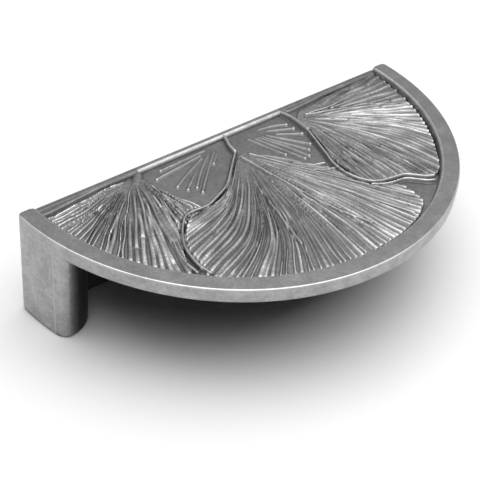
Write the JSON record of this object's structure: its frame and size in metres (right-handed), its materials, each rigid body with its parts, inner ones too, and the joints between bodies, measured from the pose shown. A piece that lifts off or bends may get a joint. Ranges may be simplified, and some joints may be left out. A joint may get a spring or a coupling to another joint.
{
  "type": "cabinet pull",
  "caption": "Half-moon cabinet pull with a raised rim, overlapping fan-shaped leaves in relief, a straight back wall and a round post at each end.",
  "frame": {"origin": "middle of the footprint's bounding box, on the mounting face", "axes": "+X along the straight back, +Y from the curved front towards the straight back, +Z away from the drawer front"},
  "size_m": [0.103, 0.0524, 0.0245],
  "materials": {
    "antique_pewter": "satin antique pewter on a white-metal casting: dark in the furrows, rubbed bright on the ribs and edges"
  },
  "bodies": {
    "root": {"pull": "antique_pewter"}
  },
  "joints": []
}
